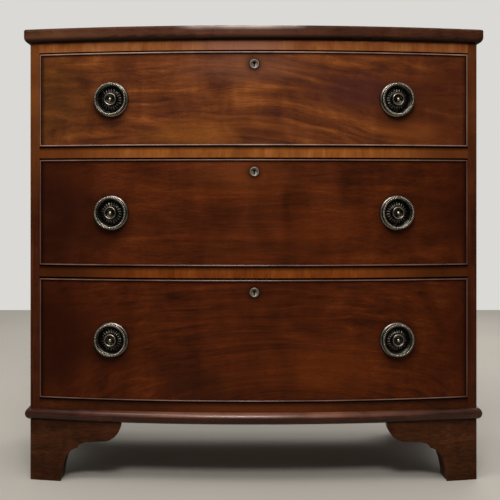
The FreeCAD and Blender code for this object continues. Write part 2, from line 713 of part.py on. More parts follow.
def pivot_post():
    """The post above the boss, whose knuckle the ring's pins turn in."""
    middle = Vector(0, -RING_OUT, RING_R)
    half = Vector(KNUCKLE_HALF_L, 0, 0)
    knuckle = cylinder(KNUCKLE_R, middle - half, middle + half)
    collar = cylinder(COLLAR_R, Vector(0, -RIM_H, RING_R), middle - OUT)
    shank = cylinder(PIVOT_SHANK_R, middle - OUT, Vector(0, SHANK_IN, RING_R))
    pin_hole = cylinder(RING_PIN_R + PIN_CLEARANCE, middle - half * 2, middle + half * 2)
    return less(joined(knuckle, collar, shank), pin_hole)


def handle_fixings():
    centre = centre_bolt()
    post = pivot_post()
    return [centre, post, nut(0, centre), nut(RING_R, post)]


def handle_holes():
    """The two holes through the drawer front."""
    start = OUT * RING_TUBE_R
    end = OUT * -SHANK_IN
    above = UP * RING_R
    return [cylinder(CENTRE_SHANK_R + HOLE_CLEARANCE, start, end),
            cylinder(PIVOT_SHANK_R + HOLE_CLEARANCE, start + above, end + above)]


def on_front(shape, x, z):
    """Puts a handle piece on the bow at x, square to it."""
    placed = shape.copy()
    placed.rotate(ORIGIN, UP, math.degrees(math.asin(x / BOW_R)))
    placed.translate(on_bow(x, 0, z))
    return placed


# ---- Assembly ----
def carcass_nodes():
    boards = {
        "top_rail_front": front_rail(TOP_Z - TOP_RAIL_T, TOP_Z),
        "divider_upper": front_rail(DIVIDER_Z["upper"], OPENING_Z["top"]),
        "divider_lower": front_rail(DIVIDER_Z["lower"], OPENING_Z["middle"]),
        "bottom_rail": front_rail(CARCASS_Z, OPENING_Z["bottom"]),
        "bottom_board": bottom_board(),
    }
    dustboards = [dustboard("upper"), dustboard("lower")]
    nails = back_nails()
    backs = [less(back_board(i), *nails) for i in range(BACK_BOARDS)]
    screws = [top_screw(x, y) for x, y in top_screw_places()]
    screw_room = screws + [screw_sinking(x, y) for x, y in top_screw_places()]
    boards["top_rail_front"] = less(boards["top_rail_front"], bolt_mortise("top"), *screw_room)
    boards["divider_upper"] = less(boards["divider_upper"], bolt_mortise("middle"), *dustboards)
    boards["divider_lower"] = less(boards["divider_lower"], bolt_mortise("bottom"), *dustboards)
    back_rail = less(upper_back_rail(), *screw_room)

    housed = [*boards.values(), back_rail, *backs, *nails]
    runners = [less(r, *dustboards) for r in (runner("upper"), runner("lower"), kicker())]
    stops = [drawer_stop(opening, x) for opening in OPENING_H for x in (-STOP_X, STOP_X)]
    return {
        **boards,
        "top": less(top_board(), *screws),
        "side_left": less(mirrored(side_board()), *housed),
        "side_right": less(side_board(), *housed),
        "back_rails": group(back_rail, base_back_rail()),
        "dustboards": group(*dustboards),
        "drawer_runners": group(*runners, *[mirrored(r) for r in runners]),
        "drawer_stops": group(*stops),
        "back_boards": group(*backs),
        "nails_and_screws": group(*nails, *screws),
    }


def base_nodes():
    moulding = moulding_right()
    front_foot = group(front_bracket(), side_bracket_front(), foot_block_front())
    rear_foot = group(side_bracket_rear(), rear_bracket(), foot_block_rear())
    return {
        "base_moulding_front": moulding_front(),
        "base_moulding_right": moulding,
        "base_moulding_left": mirrored(moulding),
        "foot_front_right": front_foot,
        "foot_front_left": group(mirrored(front_foot)),
        "foot_rear_right": rear_foot,
        "foot_rear_left": group(mirrored(rear_foot)),
    }


def drawer_nodes(opening):
    """Every piece of one drawer, by node name."""
    handle_z = sum(front_z(opening)) / 2 - HANDLE_DROP
    left, right = -HANDLE_X, HANDLE_X
    nodes = drawer_woodwork(opening)
    screws = lock_screws(opening)
    handle_room = [on_front(hole, x, handle_z) for x in (left, right) for hole in handle_holes()]
    nodes["front"] = less(nodes["front"], *lock_recess(opening), *screws, *handle_room)
    nodes.update({
        "lock": group(lock_body(opening, screws), *screws),
        "lock_bolt": bolt_shape(opening),
        "escutcheon": escutcheon(opening),
        "rosettes": group(*[on_front(rosette(), x, handle_z) for x in (left, right)]),
        "handle_bolts": group(*[on_front(f, x, handle_z) for x in (left, right) for f in handle_fixings()]),
        "ring_left": on_front(ring(), left, handle_z),
        "ring_right": on_front(ring(), right, handle_z),
    })
    return {f"{opening}_drawer_{name}": shape for name, shape in nodes.items()}


def build():
    nodes = {**carcass_nodes(), **base_nodes()}
    for opening in OPENING_H:
        nodes.update(drawer_nodes(opening))
    return nodes


os.makedirs("parts", exist_ok=True)
for node, shape in build().items():
    shape.exportStep(f"parts/{node}.step")
    print(f"{node}: {len(shape.Solids)} solids, {shape.Volume / 1000:.1f} cm3, valid {shape.isValid()}")
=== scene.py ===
"""Looks of a bow front chest of drawers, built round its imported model. Metres, front towards -Y."""

import json
import math

import bpy
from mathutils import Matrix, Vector


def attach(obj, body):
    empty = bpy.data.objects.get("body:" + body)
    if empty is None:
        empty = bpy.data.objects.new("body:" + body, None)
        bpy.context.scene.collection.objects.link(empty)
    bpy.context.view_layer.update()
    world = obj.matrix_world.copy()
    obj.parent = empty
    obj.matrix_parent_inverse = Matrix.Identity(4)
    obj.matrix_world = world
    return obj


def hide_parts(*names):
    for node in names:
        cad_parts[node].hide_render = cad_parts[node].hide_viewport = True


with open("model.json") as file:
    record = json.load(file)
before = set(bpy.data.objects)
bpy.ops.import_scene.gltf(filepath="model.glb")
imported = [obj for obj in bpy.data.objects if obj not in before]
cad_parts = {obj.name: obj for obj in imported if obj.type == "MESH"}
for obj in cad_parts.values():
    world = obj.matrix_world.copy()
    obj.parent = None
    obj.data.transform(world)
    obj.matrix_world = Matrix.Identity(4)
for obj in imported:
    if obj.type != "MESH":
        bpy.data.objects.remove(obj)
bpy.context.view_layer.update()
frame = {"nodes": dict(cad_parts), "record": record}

# ---- The object's own measures, in metres ----
MM = 0.001
HALF_WIDTH = 430 * MM
FRONT_Y = -243 * MM
BOW_SAG = 54 * MM
BOW_R = (HALF_WIDTH**2 + BOW_SAG**2) / (2 * BOW_SAG)
BOW_CENTRE_Y = FRONT_Y + BOW_R
TOP_Z = 866 * MM
BEAD_T = 3.2 * MM
BACK_BOARDS = 3
RING_R = 28.9 * MM           # to the middle of the ring's section
RING_TUBE_R = 2.7 * MM
RING_OUT = 13.5 * MM         # from the drawer front to the middle of a hanging ring
DRAWERS = ("top_drawer", "middle_drawer", "bottom_drawer")
SIDES = ("left", "right")

NODES = frame["nodes"]
BEHAVIOUR = frame["record"]["behaviour"]
BODY_OF = {node: body for body, nodes in BEHAVIOUR["bodies"].items() for node in nodes}
SWING = {joint["child"]: joint for joint in BEHAVIOUR["joints"] if joint["type"] == "hinge"}


# ---- Shader nodes: one function adds a node, the others build what several materials need ----
def tone(code):
    """An sRGB hex colour as the linear one that Blender works in."""
    parts = [int(code[i:i + 2], 16) / 255 for i in (0, 2, 4)]
    return [p / 12.92 if p <= 0.04045 else ((p + 0.055) / 1.055) ** 2.4 for p in parts] + [1.0]


def wire(tree, node, sockets):
    """Gives each socket, by name or place, a value or the output that drives it."""
    for key, value in dict(sockets).items():
        if isinstance(key, int):
            socket = node.inputs[key]
        else:
            socket = next(s for s in node.inputs if s.name == key and s.enabled)
        if isinstance(value, bpy.types.Node):
            value = next(s for s in value.outputs if s.enabled)
        if isinstance(value, bpy.types.NodeSocket):
            tree.links.new(value, socket)
        else:
            socket.default_value = value


def add(tree, kind, sockets=(), ramp=(), **settings):
    """Adds a node with its settings, its links and the stops of its colour ramp."""
    node = tree.nodes.new("ShaderNode" + kind)
    for name, value in settings.items():
        setattr(node, name, value)
    for stop, colour in ramp[1:-1]:
        node.color_ramp.elements.new(stop)
    for element, (stop, colour) in zip(node.color_ramp.elements if ramp else (), ramp):
        element.position = stop
        element.color = colour
    wire(tree, node, sockets)
    return node


def blank(name):
    """A new material with only its output, its Principled shader and the object's own coordinates."""
    material = bpy.data.materials.new(name)
    material.use_nodes = True
    tree = material.node_tree
    tree.nodes.clear()
    shader = add(tree, "BsdfPrincipled")
    add(tree, "OutputMaterial", {"Surface": shader})
    return material, tree, shader, add(tree, "TexCoord").outputs["Object"]


def product(tree, first, second):
    return add(tree, "Math", {0: first, 1: second}, operation="MULTIPLY")


def product_plus(tree, first, second, third):
    return add(tree, "Math", {0: first, 1: second, 2: third}, operation="MULTIPLY_ADD")


def between(tree, value, source, target):
    """Maps one range of values onto another, and holds what lies outside it at its ends."""
    return add(tree, "MapRange", {"Value": value, "From Min": source[0], "From Max": source[1],
                                  "To Min": target[0], "To Max": target[1]})


def noise(tree, vector, detail, scale=1.0, distortion=0.0):
    return add(tree, "TexNoise", {"Vector": vector, "Scale": scale, "Detail": detail,
                                  "Distortion": distortion})


def laid_over(tree, share, under, over):
    """A colour with another one laid over it, by a share of 0 to 1."""
    return add(tree, "Mix", {"Factor": share, "A": under, "B": tone(over)}, data_type="RGBA")


def along(grain, length, width):
    """Scale of a pattern with features of this length along the grain and this width across it, in mm."""
    return [1000 / length if axis == grain else 1000 / width for axis in "xyz"]


def outset(tree, place):
    """How far a point stands out from the bow, in metres."""
    level = add(tree, "VectorMath", {0: place, 1: (1, 1, 0)}, operation="MULTIPLY")
    reach = add(tree, "VectorMath", {0: level, 1: (0, BOW_CENTRE_Y, 0)}, operation="DISTANCE")
    return add(tree, "Math", {0: reach.outputs["Value"], 1: BOW_R}, operation="SUBTRACT")


def share_within(tree, place, limits):
    """How far a point lies within soft limits. A limit is (axis or "outset", nothing at, full at)."""
    axes = add(tree, "SeparateXYZ", {0: place})
    share = 1.0
    for measure, nothing, full in limits:
        level = outset(tree, place) if measure == "outset" else axes.outputs[measure]
        share = product(tree, between(tree, level, (nothing, full), (0.0, 1.0)), share)
    return share


# ---- Timber, layer by layer ----
DRIFT_SIZE = (170, 60)       # mm, along and across the straying of a grain line
FIGURE_NOISE = (3.0, 0.8)    # detail, distortion
STREAK_NOISE = (4.0, 0.3)
MOTTLE_NOISE = (3.0, 0.5)
PORE_SIZE = (14, 0.7)        # mm; real pores are 0.2 mm wide, and these are coarser so that they show
PORE_RAMP = ((0.34, (1, 1, 1, 1)), (0.44, (0, 0, 0, 1)))
# the same patches also break up the painted highlights
RUB_AND_HIGHLIGHT_SCALE = 14.0             # patches of wear are about 70 mm wide


def grain_flow(tree, place, bend, wander):
    """The place with its height swapped for a measure that stays the same along a line of the grain.

    bend is ("fall", from x, to x, drop), or ("arch", x, z, stretch) for ovals round a point. wander is how
    far the lines stray from that.
    """
    if not (bend or wander):
        return place
    axes = add(tree, "SeparateXYZ", {0: place})
    level = axes.outputs["Z"]
    if bend and bend[0] == "fall":
        start, end, drop = bend[1:]
        ramp = add(tree, "MapRange", {"Value": axes.outputs["X"], "From Min": start, "From Max": end,
                                      "To Max": drop}, interpolation_type="SMOOTHSTEP")
        level = add(tree, "Math", {0: level, 1: ramp}, operation="ADD")
    elif bend:
        x, z, stretch = bend[1:]
        seat = add(tree, "Mapping", {"Vector": place, "Location": (-x / stretch, 0, -z),
                                     "Scale": (1 / stretch, 0, 1)})
        level = add(tree, "VectorMath", {0: seat}, operation="LENGTH").outputs["Value"]
    seat = add(tree, "Mapping", {"Vector": place, "Scale": along("x", *DRIFT_SIZE)})
    level = product_plus(tree, noise(tree, seat, 2.0), wander, level)
    return add(tree, "CombineXYZ", {0: axes.outputs["X"], 1: axes.outputs["Y"], 2: level})


def stained_and_shaded(tree, place, colour, unevenness, patches):
    """Broad soft patches: stains that old polish has, and in places painted shade, painted shadow and
    painted sheen, each with an edge as uneven as the grain.
    """
    for x, z, half_w, half_h, shade, strength in patches:
        seat = add(tree, "Mapping", {"Vector": place, "Location": (-x / half_w, 0, -z / half_h),
                                     "Scale": (1 / half_w, 0, 1 / half_h)})
        blob = add(tree, "TexGradient", {"Vector": seat}, gradient_type="QUADRATIC_SPHERE")
        ragged = product(tree, blob, unevenness)
        amount = add(tree, "Math", {0: ragged, 1: 4 * strength}, operation="MULTIPLY", use_clamp=True)
        held = add(tree, "Math", {0: amount, 1: strength}, operation="MINIMUM")
        colour = laid_over(tree, held, colour, shade)
    return colour


def worn_and_highlit(tree, place, colour, shade, strength, limits):
    """A patchy rubbing within soft limits, which in places is a painted highlight."""
    rubs_and_glints = noise(tree, place, 5.0, scale=RUB_AND_HIGHLIGHT_SCALE)
    patchy = between(tree, rubs_and_glints, (0.3, 0.62), (0.35 * strength, strength))
    return laid_over(tree, product(tree, share_within(tree, place, limits), patchy), colour, shade)


def dirtied_and_shaded(tree, place, colour, shade, strength, limits):
    """Darkening outside soft limits: the dirt that old polish keeps in its corners, and in places painted
    shade and painted shadow.
    """
    clean = share_within(tree, place, limits)
    return laid_over(tree, product_plus(tree, clean, -strength, strength), colour, shade)


def timber(name, shades, grain="x", figure=(420, 30), streak=(90, 2.6), mottle=(26, 90),
           weights=(0.42, 0.38, 0.2), contrast=0.3, rough=(0.3, 0.46), specular=0.045, pore="120703",
           pore_depth=0.35, bend=None, wander=0.0, patches=(), wear_and_highlight=None, grime_and_shade=None, seed=0.0):
    """Planed and polished wood: broad figure, fine streaks along the grain, a mottle across it, and pores.

    shades are the colours from the darkest grain to the lightest; contrast is the smaller the harder they
    part. figure, streak and mottle are (length, width) in mm, and weights are their shares. bend and wander
    are those of grain_flow. patches are (x, z, half width, half height, shade, strength): stains, and in
    places painted shade, painted shadow and painted sheen. wear_and_highlight and grime_and_shade are
    (shade, strength, limits): a rubbing within the limits that is in places a painted highlight, and dirt
    outside them that is in places painted shade and painted shadow.
    """
    material, tree, shader, place = blank(name)
    flow = grain_flow(tree, place, bend, wander)
    layers = []
    for size, (detail, warp) in ((figure, FIGURE_NOISE), (streak, STREAK_NOISE), (mottle, MOTTLE_NOISE)):
        seat = add(tree, "Mapping", {"Vector": flow, "Location": (seed, seed * 1.7, seed * 0.6),
                                     "Scale": along(grain, *size)})
        layers.append(noise(tree, seat, detail, distortion=warp))
    total = product(tree, layers[0], weights[0])
    for layer, weight in zip(layers[1:], weights[1:]):
        total = product_plus(tree, layer, weight, total)
    spread = [0.5 + (i / (len(shades) - 1) - 0.5) * contrast for i in range(len(shades))]
    colour = add(tree, "ValToRGB", {"Fac": total}, ramp=[(s, tone(c)) for s, c in zip(spread, shades)])
    colour = stained_and_shaded(tree, place, colour, total, patches)
    seat = add(tree, "Mapping", {"Vector": flow, "Scale": along(grain, *PORE_SIZE)})
    pores = add(tree, "ValToRGB", {"Fac": noise(tree, seat, 1.0)}, ramp=PORE_RAMP)
    colour = laid_over(tree, product(tree, pores, pore_depth), colour, pore)
    if wear_and_highlight:
        colour = worn_and_highlit(tree, place, colour, *wear_and_highlight)
    if grime_and_shade:
        colour = dirtied_and_shaded(tree, place, colour, *grime_and_shade)
    relief = product_plus(tree, layers[1], 0.5, product(tree, pores, -0.5))
    bump = add(tree, "Bump", {"Height": relief, "Strength": 0.25, "Distance": 0.15 * MM})
    sheen = between(tree, layers[2], (0.3, 0.7), rough)
    wire(tree, shader, {"Base Color": colour, "Roughness": sheen, "Normal": bump, "IOR": 1.5,
                        "Specular IOR Level": specular})
    return material


# ---- Metal and paint ----
# the stored value is mostly rubbing, with painted highlight and painted shade in places
PROUD = "proud"              # the attribute that says how much each point is rubbed bright
PATINA_SCALE = 260.0         # clouds of patina are about 4 mm wide


def brass(name, shine, grime_and_shade, rubbed=False, rough=(0.28, 0.5)):
    """Cast metal with an old dark patina, bright where it is rubbed, with painted highlight and painted
    shade in places.
    """
    material, tree, shader, place = blank(name)
    cloud = noise(tree, place, 4.0, scale=PATINA_SCALE)
    if rubbed:
        proud = add(tree, "Attribute", attribute_name=PROUD).outputs["Fac"]
        bright = between(tree, product_plus(tree, cloud, 0.6, proud), (0.35, 1.25), (0.0, 1.0))
    else:
        bright = between(tree, cloud, (0.3, 0.6), (0.0, 1.0))
    colour = laid_over(tree, bright, tone(grime_and_shade), shine)
    polish = between(tree, bright, (0.0, 1.0), (rough[1], rough[0]))
    bump = add(tree, "Bump", {"Height": cloud, "Strength": 0.2, "Distance": 0.1 * MM})
    wire(tree, shader, {"Base Color": colour, "Roughness": polish, "Normal": bump, "Metallic": 1.0})
    return material


def floor_paint():
    """Matt paint, slightly uneven."""
    material, tree, shader, place = blank("floor_paint")
    colour = laid_over(tree, noise(tree, place, 2.0, scale=1.5), tone("aea89e"), "a49e94")
    wire(tree, shader, {"Base Color": colour, "Roughness": 0.75, "Specular IOR Level": 0.1})
    return material


# ---- Where wear, dirt, painted shade and painted shadow lie, read from the pieces ----
# painted shadow round the brasses: its colour and strength, and how far it reaches
BRASS_SHADOW = ("150602", 0.95)
PLATE_SHADOW_REACH = 25 * MM
HANDLE_SHADOW_REACH = 60 * MM
HANDLE_SHADOW_DROP = 12 * MM   # below the middle of the ring


def edges_of(node):
    """(half width, lower edge, upper edge) of a node, seen from the front."""
    corners = [Vector(corner) for corner in NODES[node].bound_box]
    return max(c.x for c in corners), min(c.z for c in corners), max(c.z for c in corners)


def in_the_beads(drawer, reach):
    """Soft limits this far inside the upright cock beads of a drawer front, and nearer to the upper one."""
    half_w, low, high = edges_of(f"{drawer}_cockbeads")
    inner, high = half_w - BEAD_T, high - BEAD_T
    return ("X", -inner, reach - inner), ("X", inner, inner - reach), ("Z", high, high - reach * 0.6)


def under_edge(node, reach):
    """Soft limits this far below the upper edge of a rail, where the shadow of the bead above is painted."""
    half_w, low, high = edges_of(node)
    return (("Z", high, high - reach),)


def middle_board():
    """Limits of the middle one of the back boards."""
    half_w, low, high = edges_of("back_boards")
    board = (high - low) / BACK_BOARDS
    return ("Z", low + board, low + board + MM), ("Z", high - board, high - board - MM)


def shadows_round_the_brasses(drawer):
    """Patches of painted shadow on a drawer front, round its keyhole plate and under its two handles."""
    half_w, low, high = edges_of(f"{drawer}_escutcheon")
    spots = [(0, (low + high) / 2 - 1 * MM, PLATE_SHADOW_REACH)]
    for side in SIDES:
        x, y, z = SWING[f"{drawer}_ring_{side}"]["pos_m"]
        spots.append((x, z - RING_R - HANDLE_SHADOW_DROP, HANDLE_SHADOW_REACH))
    return [(x, z, reach, reach, *BRASS_SHADOW) for x, z, reach in spots]


# ---- Mahogany ----
# darkening inside the beads of a drawer front: dirt, and painted shade that is deepest under the upper bead
FRONT_DIRT_AND_SHADE = ("100502", 0.8)
FRONT_DIRT_AND_SHADE_REACH = 9 * MM


def front_mahogany(drawer, shades, stains_and_shading, **cut):
    """The show wood of one drawer front, with dirt and painted shade along its beads and painted shadow
    round its brasses.
    """
    return timber(drawer.replace("drawer", "front_mahogany"), shades,
                  patches=(*stains_and_shading, *shadows_round_the_brasses(drawer)),
                  grime_and_shade=(*FRONT_DIRT_AND_SHADE, in_the_beads(drawer, FRONT_DIRT_AND_SHADE_REACH)), **cut)


FRONT_MAHOGANY = {
    "top_drawer": front_mahogany(
        "top_drawer", ("371b12", "4e2611", "643315", "7f471f"),
        stains_and_shading=((-0.40, 0.73, 0.17, 0.16, "40270f", 0.55),
                (0.42, 0.72, 0.28, 0.20, "38140a", 0.7),
                (-0.12, 0.66, 0.14, 0.04, "7a4617", 0.5),
                # painted sheen: a paler greyish patch high in the middle
                (-0.02, 0.79, 0.20, 0.05, "6e4430", 0.45),
                (0.20, 0.745, 0.16, 0.06, "3a1a17", 0.75),
                (0.30, 0.67, 0.12, 0.04, "743c18", 0.5)),
        bend=("fall", -0.04, 0.36, 0.06), wander=0.03, figure=(260, 17), streak=(130, 2.2), mottle=(40, 70),
        weights=(0.55, 0.17, 0.28), contrast=0.31, seed=1.3),
    "middle_drawer": front_mahogany(
        "middle_drawer", ("260e06", "391606", "4a1e08", "5c290c"),
        # the first two stains darken both ends of the bow as painted shade
        stains_and_shading=((-0.42, 0.51, 0.26, 0.22, "220a04", 0.8),
                (0.44, 0.51, 0.18, 0.20, "280b03", 0.75),
                (-0.02, 0.59, 0.16, 0.06, "6b3413", 0.5),
                (0.12, 0.47, 0.16, 0.08, "56240a", 0.4)),
        wander=0.02, mottle=(60, 110), weights=(0.42, 0.26, 0.32), seed=4.1),
    "bottom_drawer": front_mahogany(
        "bottom_drawer", ("270d05", "3a1606", "481c07", "5a280b"),
        # the first two stains darken both ends of the bow as painted shade
        stains_and_shading=((-0.42, 0.27, 0.26, 0.22, "200702", 0.8),
                (0.44, 0.27, 0.15, 0.20, "2a0b02", 0.7),
                (-0.10, 0.18, 0.12, 0.07, "281005", 0.6),
                (0.14, 0.22, 0.18, 0.09, "602a0a", 0.45)),
        bend=("arch", 0.09, 0.12, 3.4), wander=0.014, figure=(380, 9), streak=(200, 1.8), mottle=(60, 90),
        weights=(0.4, 0.25, 0.35), seed=7.7),
}
CARCASS_MAHOGANY = timber(
    "carcass_mahogany", ("240e06", "341608", "401c0b", "502711"), grain="z", seed=2.2,
    # painted light: the front edges of the sides lighter towards the top, the left more than the right
    wear_and_highlight=("75421b", 0.85, (("Y", -170 * MM, -186 * MM), ("Z", 0.5, 0.85), ("X", 0.8, -0.2))))
TOP_MAHOGANY = timber(
    "top_board_mahogany", ("27120a", "341a0e", "402113", "502c1a"), seed=3.4, specular=0.1,
    rough=(0.26, 0.4),
    patches=((-0.02, 0.85, 0.26, 0.02, "583424", 0.5), (-0.36, 0.85, 0.22, 0.02, "5a3a26", 0.45)),
    # painted highlight: a reflection of the light, with some wear, along the middle of the front arris
    wear_and_highlight=("b8a69c", 0.65, (("outset", 8 * MM, 10 * MM), ("Z", TOP_Z - 9 * MM, TOP_Z - 2 * MM),
                           ("X", -0.15, -0.1), ("X", 0.10, 0.05))),
    # painted shadow on the underside of the front edge
    grime_and_shade=("080301", 0.95, (("Z", TOP_Z - 24 * MM, TOP_Z - 17 * MM),)))
PLINTH_MAHOGANY = timber(
    "plinth_mahogany", ("200c05", "2e1406", "3a1908", "48220c"), seed=5.6,
    # painted light: the middle of the bottom rail lighter than its ends
    patches=((0.02, 0.15, 0.34, 0.08, "58290f", 0.7),),
    # painted shadow of the bottom drawer's lower bead
    grime_and_shade=("0c0401", 0.9, under_edge("bottom_rail", 9 * MM)))
MOULDING_MAHOGANY = timber(
    "moulding_mahogany", ("1b0a04", "281107", "34160a", "422212"), seed=5.9, specular=0.24,
    rough=(0.16, 0.26),
    # painted highlight along the upper nose of the moulding, fading towards its ends
    wear_and_highlight=("8c5a45", 0.6, (("Z", 129 * MM, 132 * MM), ("X", -0.35, -0.1), ("X", 0.36, 0.16))))
FOOT_MAHOGANY = timber("foot_mahogany", ("241108", "30180b", "3d200f", "4d2b17"), seed=6.1)

CROSSBANDING = {"grain": "z", "figure": (70, 34), "streak": (60, 1.5), "mottle": (30, 9),
                "weights": (0.45, 0.3, 0.25), "contrast": 0.36, "pore_depth": 0.15}
# painted shadow of the drawers' lower beads on the rails below them
UNDER_BEAD_SHADOW = ("080200", 0.97)
TOP_CROSSBANDING = timber(
    "crossbanded_top_rail", ("5e3016", "6e3b1b", "7d4923", "8d5833"), seed=8.3,
    # painted sheen: a greyish-pink patch in the middle of the top rail
    patches=((-0.03, 0.83, 0.16, 0.08, "7c5240", 0.7),), **CROSSBANDING)
UPPER_CROSSBANDING = timber(
    "crossbanded_upper_divider", ("603114", "723e18", "82491d", "945a30"), seed=8.6,
    # painted shade: both ends of the bow darker
    patches=((-0.42, 0.64, 0.26, 0.2, "4e240c", 0.8), (0.42, 0.64, 0.24, 0.2, "4a220c", 0.8)),
    grime_and_shade=(*UNDER_BEAD_SHADOW, under_edge("divider_upper", 7 * MM)), **CROSSBANDING)
LOWER_CROSSBANDING = timber(
    # shades darker than the upper divider's, partly as painted shade
    "crossbanded_lower_divider", ("4c220a", "602c0c", "703710", "82461c"), seed=8.9,
    # painted shade: both ends of the bow darker
    patches=((-0.42, 0.40, 0.3, 0.2, "2e1305", 0.85), (0.42, 0.40, 0.3, 0.2, "341606", 0.8)),
    grime_and_shade=(*UNDER_BEAD_SHADOW, under_edge("divider_lower", 8 * MM)), **CROSSBANDING)

BEAD_SHADES = ("120502", "1e0b05", "2a110a", "381a10")
BEAD_POLISH = {"seed": 9.2, "specular": 0.14, "rough": (0.22, 0.32)}
# the pale bead noses are partly wear and partly painted highlight, fading near the ends; the top drawer's
# are paler as painted light
BEAD_NOSE = (("outset", 2.5 * MM, 3.1 * MM), ("X", -0.425, -0.395), ("X", 0.425, 0.395))
TOP_BEAD_MAHOGANY = timber("top_bead_mahogany", BEAD_SHADES, wear_and_highlight=("ab8674", 0.9, BEAD_NOSE), **BEAD_POLISH)
BEAD_MAHOGANY = timber("cock_bead_mahogany", BEAD_SHADES, wear_and_highlight=("906656", 0.8, BEAD_NOSE), **BEAD_POLISH)

# ---- Oak, pine and metals ----
OAK_CUT = {"figure": (300, 22), "streak": (80, 2.0), "mottle": (240, 50), "weights": (0.5, 0.4, 0.1),
           "rough": (0.5, 0.65), "specular": 0.2, "pore": "553c22"}
OAK_SIDES = timber("oak_drawer_sides", ("765734", "8f6d41", "a17e50", "b29061"), grain="y", seed=10.4,
                   **OAK_CUT)
OAK_ACROSS = timber("oak_drawer_backs", ("6f5130", "88673d", "9a784b", "ab895b"), seed=12.7, **OAK_CUT)
PINE_CUT = {"figure": (620, 24), "streak": (260, 2.6), "mottle": (420, 70), "weights": (0.5, 0.35, 0.15),
            "rough": (0.55, 0.7), "specular": 0.2, "pore": "46321b", "pore_depth": 0.25}
PINE_SHADES = ("5c4225", "735531", "87673f", "997950")
PINE = timber("pine_carcass_wood", PINE_SHADES, seed=11.9, **PINE_CUT)
BACK_PINE = timber("pine_back_boards", PINE_SHADES, seed=13.3, wear_and_highlight=("463016", 0.6, middle_board()),
                   **PINE_CUT)
HANDLE_BRASS = brass("antique_brass", "b8ae9c", "11100d", rubbed=True, rough=(0.17, 0.4))
# its dark colour shows mostly in the keyhole, as painted shade
ESCUTCHEON_BRASS = brass("pale_brass", "9c9184", "060403", rubbed=True, rough=(0.46, 0.6))
LOCK_BRASS = brass("lock_brass", "8c7c58", "3a3020")
IRON = brass("wrought_iron", "4a4440", "1d1916", rough=(0.45, 0.7))

FINISH = {}
for finish, nodes in (
    (TOP_MAHOGANY, ("top",)),
    (CARCASS_MAHOGANY, ("side_left", "side_right")),
    (TOP_CROSSBANDING, ("top_rail_front",)),
    (UPPER_CROSSBANDING, ("divider_upper",)),
    (LOWER_CROSSBANDING, ("divider_lower",)),
    (PLINTH_MAHOGANY, ("bottom_rail",)),
    (MOULDING_MAHOGANY, ("base_moulding_front", "base_moulding_left", "base_moulding_right")),
    (FOOT_MAHOGANY, ("foot_front_left", "foot_front_right", "foot_rear_left", "foot_rear_right")),
    (PINE, ("bottom_board", "back_rails", "dustboards", "drawer_runners", "drawer_stops")),
    (BACK_PINE, ("back_boards",)),
    (IRON, ("nails_and_screws",)),
):
    FINISH.update(dict.fromkeys(nodes, finish))
for drawer in DRAWERS:
    for finish, parts in (
        (FRONT_MAHOGANY[drawer], ("front",)),
        (TOP_BEAD_MAHOGANY if drawer == "top_drawer" else BEAD_MAHOGANY, ("cockbeads",)),
        (OAK_SIDES, ("side_left", "side_right")),
        (OAK_ACROSS, ("back", "bottom")),
        (ESCUTCHEON_BRASS, ("escutcheon",)),
        (HANDLE_BRASS, ("rosettes", "handle_bolts", "ring_left", "ring_right")),
        (LOCK_BRASS, ("lock", "lock_bolt")),
    ):
        FINISH.update({f"{drawer}_{part}": finish for part in parts})
for node, finish in FINISH.items():
    NODES[node].data.materials.clear()
    NODES[node].data.materials.append(finish)


# ---- Modelling helpers ----
WELD = 0.005 * MM            # points of a solid closer than this are one
SPIN_WELD = 0.01 * MM        # and those where a spun profile meets itself


def deselect():
    bpy.ops.object.select_all(action="DESELECT")


def hold(*pieces):
    """Selects these pieces only, the first one active."""
    deselect()
    for piece in pieces:
        piece.select_set(True)
    bpy.context.view_layer.objects.active = pieces[0]


def editing(piece, chosen=lambda spot: True):
    """Enters edit mode with the vertices that chosen() picks selected."""
    hold(piece)
    bpy.ops.object.mode_set(mode="EDIT")
    bpy.ops.mesh.select_mode(type="VERT")
    bpy.ops.mesh.select_all(action="DESELECT")
    bpy.ops.object.mode_set(mode="OBJECT")
    for vertex in piece.data.vertices:
        vertex.select = chosen(vertex.co)
    bpy.ops.object.mode_set(mode="EDIT")


def done():
    bpy.ops.object.mode_set(mode="OBJECT")


def weld(piece):
    """Joins the points that neighbouring faces of a solid have each for themselves."""
    editing(piece)
    bpy.ops.mesh.remove_doubles(threshold=WELD)
    done()


def smooth(piece, degrees):
    """Shades a piece smooth wherever its faces turn by less than this."""
    hold(piece)
    bpy.ops.object.shade_smooth_by_angle(angle=math.radians(degrees))


def mark_brightness(piece, amount):
    """Stores how bright each point is, which amount() tells from its place: rubbing, and in places painted
    highlight and painted shade.
    """
    proud = piece.data.attributes.new(PROUD, "FLOAT", "POINT")
    for vertex, value in zip(piece.data.vertices, proud.data):
        value.value = amount(vertex.co)


def twin(piece, name):
    """A copy with its own mesh, free of the frame's marks."""
    other = piece.copy()
    other.data = piece.data.copy()
    other.name = name
    for key in [k for k in other.keys() if k.startswith("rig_")]:
        del other[key]
    other.parent = None
    bpy.context.scene.collection.objects.link(other)
    return other


def set_at(piece, place, turn):
    """Turns a finished piece about the upright axis, moves it into place, its object left at the origin."""
    piece.rotation_euler = (0, 0, turn)
    piece.location = place
    hold(piece)
    bpy.ops.object.transform_apply(location=True, rotation=True, scale=True)


def dress(piece, finish, node):
    """Gives a finished piece its material and puts it in the place of its node."""
    piece.data.materials.clear()
    piece.data.materials.append(finish)
    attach(piece, BODY_OF[node])
    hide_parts(node)


